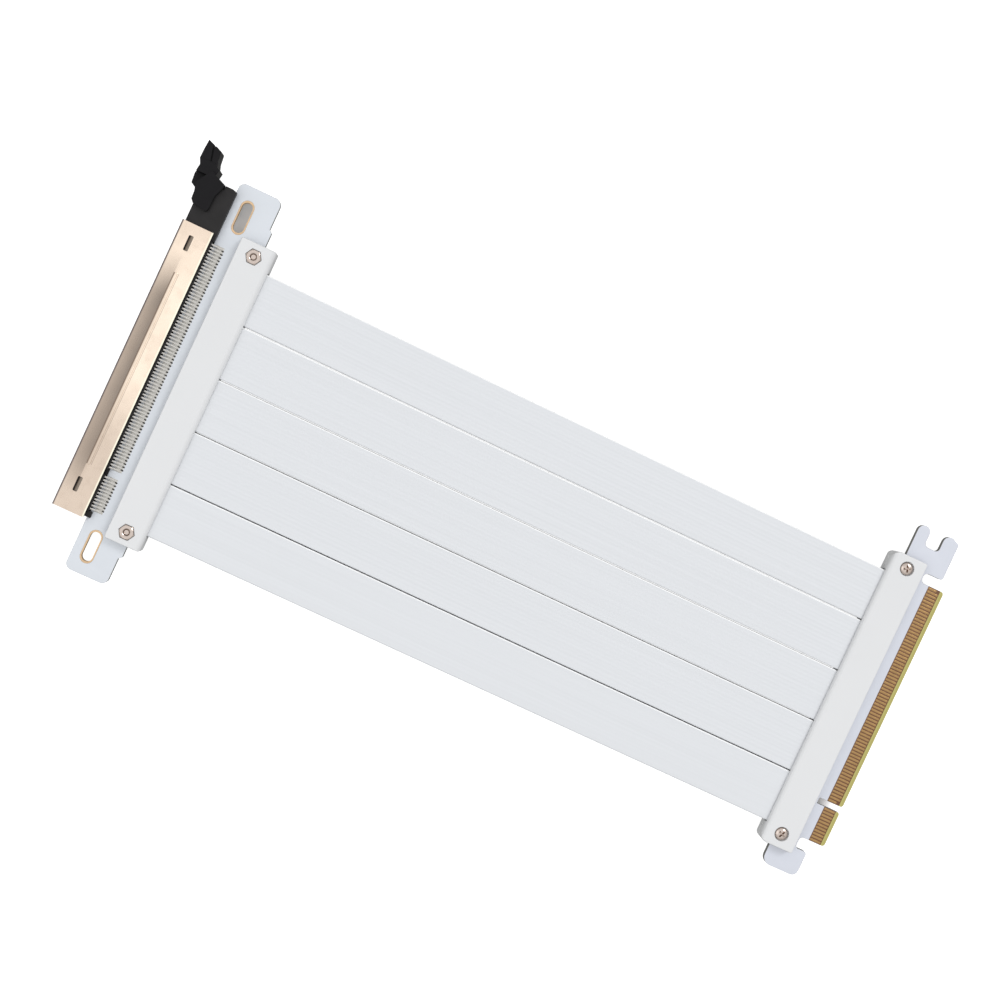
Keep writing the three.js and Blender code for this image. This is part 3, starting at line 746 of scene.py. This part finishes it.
def toe_gaps(side):
    """Short near-black strips between the toes of the pads."""
    s = 1 if side == "top" else -1
    parts = []
    rng = random.Random(21 + s)
    for y in CONTACT_Y:
        if abs(y + 31.5) < 0.01 or y > 41.4:
            continue
        a = 3.42 + rng.uniform(-0.05, 0.05)
        b = 4.18 + rng.uniform(-0.06, 0.06)
        c = y + 0.5 + rng.uniform(-0.03, 0.03)
        secs = []
        for x, w in ((a, 0.10), (a + 0.12, 0.22), (b - 0.14, 0.25), (b, 0.12)):
            secs.append([W(x, c - w, SLOT_Z + s * 0.80), W(x, c + w, SLOT_Z + s * 0.80), W(x, c + w * 0.9, SLOT_Z + s * 0.838), W(x, c - w * 0.9, SLOT_Z + s * 0.838)])
        v, f = sweep(secs)
        parts.append((v, f, 0))
    v, f, m = join_lists(parts)
    obj_from(f"pad_toe_gaps_{side}", v, f, [GAP], face_mats=m, smooth=40)


toe_gaps("top")
toe_gaps("bottom")


# springs that show in the mouth of the card slot
def springs():
    parts = []
    for s in (1, -1):
        for y in CONTACT_Y:
            path = [(-2.2, 0.80), (-4.0, 0.74), (-5.4, 0.52), (-6.2, 0.40), (-6.9, 0.50), (-7.5, 0.72), (-7.9, 0.86)]
            secs = []
            for i, (x, z) in enumerate(path):
                a, b = path[max(0, i - 1)], path[min(len(path) - 1, i + 1)]
                tx, tz = b[0] - a[0], b[1] - a[1]
                q = math.hypot(tx, tz)
                secs.append([W(*p) for p in ring4(x, y, SLOT_Z + s * z, 0.42, 0.12, -tz / q, tx / q * s)])
            v, f = sweep(secs)
            parts.append((v, f, 0))
    v, f, m = join_lists(parts)
    obj_from("slot_springs", v, f, [SPRING], face_mats=m, smooth=50)


springs()

# ------------------------------------------------------------------ housing, latch, jacket
refine("slot_housing", [HOUSING], 0.10, 30)
refine("slot_latch", [LATCH], 0.16, 30, body="latch")
refine("slot_jacket", [JACKET], 0.05, 55)


def lances():
    """Sheet tabs bent inwards in the jacket's windows."""
    parts = []
    for y0, y1 in ((36.5, 41.1), (-38.5, -34.1)):
        for s in (1, -1):
            secs = []
            for k in range(7):
                f = k / 6
                x = -4.58 - 1.15 * f
                z = 4.05 - 0.15 - 0.40 * f ** 1.4
                secs.append([W(x, y0 + 0.10, SLOT_Z + s * (z - 0.12)), W(x, y1 - 0.10, SLOT_Z + s * (z - 0.12)),
                             W(x, y1 - 0.10, SLOT_Z + s * (z + 0.12)), W(x, y0 + 0.10, SLOT_Z + s * (z + 0.12))])
            v, f = sweep(secs)
            parts.append((v, f, 0))
    v, f, m = join_lists(parts)
    obj_from("jacket_lances", v, f, [LANCE], face_mats=m, smooth=50)


lances()
# the housing's rear lip, over the roots of the tails
for _k, (_a, _b) in enumerate(((-42.1, KEY_Y - 0.9), (KEY_Y + 0.9, 42.1))):
    plate(f"housing_lip_{_k + 1}", [(-0.55, _a), (0.42, _a), (0.42, _b), (-0.55, _b)], [], 6.55, 7.5, 0.06, [HOUSING])


# ------------------------------------------------------------------ plug board
def PW(x, y, z):
    return W(PLUG_X + x, PLUG_Y + y, PLUG_Z + z)


def plug_outline(tongue, seg=9, inset=0.0, square=False):
    r = 0.0 if square else 0.9
    k = 0.0 if square else 0.8
    d = inset
    pts = [
        (4.35 + d, -53.83 + d, 2.5), (15.85 - d, -53.83 + d, 2.0), (15.85 - d, -45.77 - d, 1.0), (11.95 - d, -45.77 - d, 0.9), (11.95 - d, -42.1 + d, 1.2),
        (tongue, -42.1 + d, r), (tongue, KEY_Y - 0.93 - d, k), (12.15 - d, KEY_Y - 0.93 - d, 0.2), (12.15 - d, KEY_Y + 0.93 + d, 0.2),
        (tongue, KEY_Y + 0.93 + d, k), (tongue, 42.1 - d, r), (11.95 - d, 42.1 - d, 1.2), (11.95 - d, 45.24 + d, 1.2), (17.75 - d, 45.24 + d, 0.8),
        (17.75 - d, 56.9 - d, 0.8), (15.2, 57.98 - d, 0.3), (12.9 + d, 57.98 - d, 1.85), (12.9 + d, 52.3 - d, 1.2), (8.2 - d, 52.3 - d, 1.4),
        (8.2 - d, 57.98 - d, 1.85 - d), (4.35 + d, 57.98 - d, 1.85 - d), (4.35 + d, 46.5, 0), (3.9 + d, 46.5, 0), (3.9 + d, -46.5, 0), (4.35 + d, -46.5, 0)]
    return rounded(pts, seg)


def plug_board():
    # core with its bevelled leading edge; the band of the tongue between the fingers is darker laminate
    def pick(c, n):
        x = c.x * 1000 - OX - PLUG_X
        y = abs(c.y * 1000 - OY - PLUG_Y)
        if y < 43 and x > 18.55:
            return 2
        if y < 43 and x > 13.9 and abs(n.z) > 0.7:
            return 1
        return 0
    refine("plug_board", [EDGE, COMB, BEVEL], 0.0, 32, picker=pick)
    screws = [circle(5.5, 43.78, 1.2), circle(5.5, -43.4, 1.2)]
    mask = plug_outline(14.7, 9, 0.04, square=True)
    band1 = [(14.65, KEY_Y + 0.97), (18.64, KEY_Y + 0.97), (18.64, 42.06), (14.65, 42.06)]
    band2 = [(14.65, -42.06), (18.64, -42.06), (18.64, KEY_Y - 0.97), (14.65, KEY_Y - 0.97)]
    for tag, s in (("top", 1), ("bottom", -1)):
        a, b = s * 0.79, s * 0.825
        plate(f"plug_mask_{tag}", mask, screws, min(a, b), max(a, b), 0.01, [MASK_PLUG], place=PW)
        a, b = s * 0.79, s * 0.806
        plate(f"finger_ground_{tag}_1", band1, [], min(a, b), max(a, b), 0.002, [COMB], place=PW)
        plate(f"finger_ground_{tag}_2", band2, [], min(a, b), max(a, b), 0.002, [COMB], place=PW)
        parts = []
        rng = random.Random(3 + s)
        for y in CONTACT_Y:
            x0, x1 = 14.92, 18.42
            if abs(y - (KEY_Y + 1.5)) < 0.01 or rng.random() < 0.04:
                x1 = 17.55
            w = 0.62
            secs = []
            for x, ww in ((x0, w * 0.8), (x0 + 0.08, w * 0.97), (x0 + 0.2, w), (x1 - 0.25, w), (x1 - 0.08, w * 0.9), (x1, w * 0.6)):
                h = 0.842 if x0 < x < x1 else 0.83
                e = 0.05
                secs.append([PW(x, y - ww / 2, s * 0.80), PW(x, y + ww / 2, s * 0.80), PW(x, y + ww / 2, s * (h - 0.015)),
                             PW(x, y + ww / 2 - e, s * h), PW(x, y - ww / 2 + e, s * h), PW(x, y - ww / 2, s * (h - 0.015))])
            v, f = sweep(secs)
            parts.append((v, f, 0))
        v, f, m = join_lists(parts)
        obj_from(f"gold_fingers_{tag}", v, f, [GOLD], face_mats=m, smooth=40)


plug_board()


# ------------------------------------------------------------------ screws and nuts
def screw(name, cx, cy, cz, up, turn):
    """A pan-head screw with a cross recess and a real thread; cz is the underside of the head."""
    prof = [(0.0, 1.10), (0.45, 1.085), (0.9, 1.02), (1.3, 0.90), (1.62, 0.73), (1.83, 0.54), (1.93, 0.36), (1.95, 0.2), (1.93, 0.06), (1.88, 0.0), (0.95, 0.0)]
    n = 48
    verts, faces = [], []
    for r, z in prof:
        for k in range(n):
            a = 2 * math.pi * k / n
            verts.append(Vector((r * math.cos(a), r * math.sin(a), z)))
    for i in range(len(prof) - 1):
        for k in range(n):
            q = (k + 1) % n
            faces.append((i * n + k, (i + 1) * n + k, (i + 1) * n + q, i * n + q))
    # threaded shank: a helix on a bar, with a plain neck and a tapered start
    pitch, length = 0.4, 6.2
    steps = int(length / pitch * 10)
    base = (len(prof) - 1) * n
    rows = [base]
    for i in range(1, steps + 1):
        z = -length * i / steps
        rows.append(len(verts))
        for k in range(n):
            a = 2 * math.pi * k / n
            ph = (z / pitch - k / n) % 1.0
            tooth = 1 - abs(2 * ph - 1)
            fade = min(1.0, max(0.0, (-z - 0.2) / 0.3)) * min(1.0, (length + z) / 0.35)
            r = 0.84 + 0.13 * tooth * fade - 0.18 * max(0.0, 1 - (length + z) / 0.3)
            verts.append(Vector((r * math.cos(a), r * math.sin(a), z)))
    for i in range(len(rows) - 1):
        for k in range(n):
            q = (k + 1) % n
            faces.append((rows[i] + k, rows[i + 1] + k, rows[i + 1] + q, rows[i] + q))
    faces.append(tuple(rows[-1] + k for k in range(n)))
    me = bpy.data.meshes.new(name)
    me.from_pydata([tuple(v / 1000) for v in verts], [], faces)
    bm = bmesh.new()
    bm.from_mesh(me)
    bmesh.ops.remove_doubles(bm, verts=bm.verts, dist=1e-7)
    bmesh.ops.recalc_face_normals(bm, faces=bm.faces)
    bm.to_mesh(me)
    bm.free()
    o = bpy.data.objects.new(name, me)
    scene.collection.objects.link(o)
    # cross recess: two tapered wings meeting in a pointed core
    cut_v, cut_f = [], []
    for rot in (0, 1):
        sec = [(1.16, 0.30, 1.4), (1.10, 0.27, 0.95), (0.70, 0.18, 0.42), (0.34, 0.11, 0.12)]
        base = len(cut_v)
        for lx, ly, z in sec:
            for sx, sy in ((-1, -1), (1, -1), (1, 1), (-1, 1)):
                x, y = sx * lx, sy * ly
                if rot:
                    x, y = -y, x
                cut_v.append((x / 1000, y / 1000, z / 1000))
        for i in range(len(sec) - 1):
            for k in range(4):
                q = (k + 1) % 4
                cut_f.append((base + i * 4 + k, base + i * 4 + q, base + (i + 1) * 4 + q, base + (i + 1) * 4 + k))
        cut_f.append((base, base + 1, base + 2, base + 3))
        e = base + (len(sec) - 1) * 4
        cut_f.append((e + 3, e + 2, e + 1, e))
    cutters = []
    half = len(cut_v) // 2
    for part in (0, 1):
        cm = bpy.data.meshes.new(name + "_cut")
        cm.from_pydata(cut_v[part * half:(part + 1) * half], [], [tuple(i - part * half for i in f) for f in cut_f if part * half <= f[0] < (part + 1) * half])
        b2 = bmesh.new()
        b2.from_mesh(cm)
        bmesh.ops.recalc_face_normals(b2, faces=b2.faces)
        b2.to_mesh(cm)
        b2.free()
        co = bpy.data.objects.new(name + f"_cut{part}", cm)
        scene.collection.objects.link(co)
        cutters.append(co)
        mod = o.modifiers.new(f"cut{part}", "BOOLEAN")
        mod.operation = "DIFFERENCE"
        mod.solver = "EXACT"
        mod.object = co
    dg = bpy.context.evaluated_depsgraph_get()
    done = bpy.data.meshes.new_from_object(o.evaluated_get(dg))
    o.modifiers.clear()
    o.data = done
    for co in cutters:
        bpy.data.objects.remove(co)
    m = Matrix.Translation(W(cx, cy, cz)) @ Matrix.Rotation(turn, 4, "Z")
    if not up:
        m = m @ Matrix.Rotation(math.pi, 4, "X")
    done.transform(m)
    done.materials.clear()
    done.materials.append(STEEL)
    finish_mesh(done, 32)
    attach(o, "cable")
    return o


def nut(name, cx, cy, z0, up):
    """A hexagon nut with chamfered corners, countersunk bore and thread; z0 is its inner face."""
    n = 72
    h, bore = 1.2, 1.0
    rings = []

    def hexr(a):
        q = a % (math.pi / 3) - math.pi / 6
        return 2.0 / math.cos(q)

    prof = [("b", 0.0, 1.18), ("b", 0.12, 1.02)]
    for i in range(9):
        prof.append(("b", 0.16 + 0.88 * i / 8, 1.0 + (0.08 if i % 2 else 0.0)))
    prof += [("b", 1.08, 1.02), ("b", 1.2, 1.22), ("c", 1.2, 1.86), ("c", 1.1, 2.03), ("c", 0.98, 2.24), ("h", 0.92, 0), ("h", 0.28, 0), ("c", 0.22, 2.24), ("c", 0.10, 2.03), ("c", 0.0, 1.86)]
    for kind, z, r in prof:
        ring = []
        for k in range(n):
            a = 2 * math.pi * k / n
            rr = r if kind == "b" else hexr(a) if kind == "h" else min(r, hexr(a))
            ring.append((rr * math.cos(a), rr * math.sin(a), z))
        rings.append(ring)
    verts = [p for ring in rings for p in ring]
    faces = []
    for i in range(len(rings)):
        j = (i + 1) % len(rings)
        for k in range(n):
            q = (k + 1) % n
            faces.append((i * n + k, i * n + q, j * n + q, j * n + k))
    s = 1 if up else -1
    pts = [W(cx + x, cy + y, z0 + s * z) for x, y, z in verts]
    return obj_from(name, pts, faces, [STEEL], smooth=28)


for prefix, bx, by, bz, nuts_up in (("slot", COVER_X, 0.0, SLOT_Z, True), ("plug", PLUG_X, PLUG_Y, PLUG_Z, False)):
    for tag in ("a", "b"):
        lo_n, hi_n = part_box(f"{prefix}_nut_{tag}")
        cx = (lo_n.x + hi_n.x) / 2 * 1000 - OX
        cy = (lo_n.y + hi_n.y) / 2 * 1000 - OY
        d = 2.65
        ns = 1 if nuts_up else -1
        o = nut(f"{prefix}_nut_{tag}_fine", cx, cy, bz + ns * d, nuts_up)
        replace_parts(o, f"{prefix}_nut_{tag}")
        o = screw(f"{prefix}_screw_{tag}_fine", cx, cy, bz - ns * d, not nuts_up, 0.35 if tag == "a" else 1.15)
        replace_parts(o, f"{prefix}_screw_{tag}")


# ------------------------------------------------------------------ floor
def make_floor():
    me = bpy.data.meshes.new("floor")
    s = 3.0
    me.from_pydata([(-s, -s, 0), (s, -s, 0), (s, s, 0), (-s, s, 0)], [], [(0, 1, 2, 3)])
    o = bpy.data.objects.new("floor", me)
    o.location = (0, 0, -0.00002)
    m = Mat("floor_pale")
    cloud = m.noise(3, 2, 0.5)
    c = m.xyz()
    # an evenly glowing pale floor; under the upper board slot and the key notch the glow is turned down, a painted
    # shade that lets the rendered shadow show there
    def away(axis, at, inner, outer):
        d = m.math("ABSOLUTE", m.math("SUBTRACT", c[axis], at))
        return m.map(d, inner / 1000, outer / 1000, 1.0, 0.0, True)

    w = W(4.95, 52.2, 0)
    slot = m.math("MULTIPLY", away("X", w.x, 2.3, 3.1), away("Y", w.y, 5.2, 6.6))
    w = W(231.0, KEY_Y + PLUG_Y - 0.4, 0)
    notch = m.math("MULTIPLY", away("X", w.x, 1.2, 7.0), away("Y", w.y, 1.4, 2.4))
    shade = m.math("ADD", slot, notch)
    m.colour(m.mix(shade, m.ramp(cloud, [(0.3, (0.53, 0.53, 0.532)), (0.7, (0.55, 0.55, 0.55))]), (0.80, 0.80, 0.80)))
    m.set(Roughness=0.9)
    m.bsdf.inputs["Emission Color"].default_value = (1, 1, 1, 1)
    m.link(m.map(shade, 0.0, 1.0, 0.80, 0.06), m.bsdf.inputs["Emission Strength"])
    m.bsdf.inputs["Specular IOR Level"].default_value = 0.1
    o.visible_diffuse = False
    o.visible_glossy = False
    me.materials.append(m.m)
    scene.collection.objects.link(o)


make_floor()
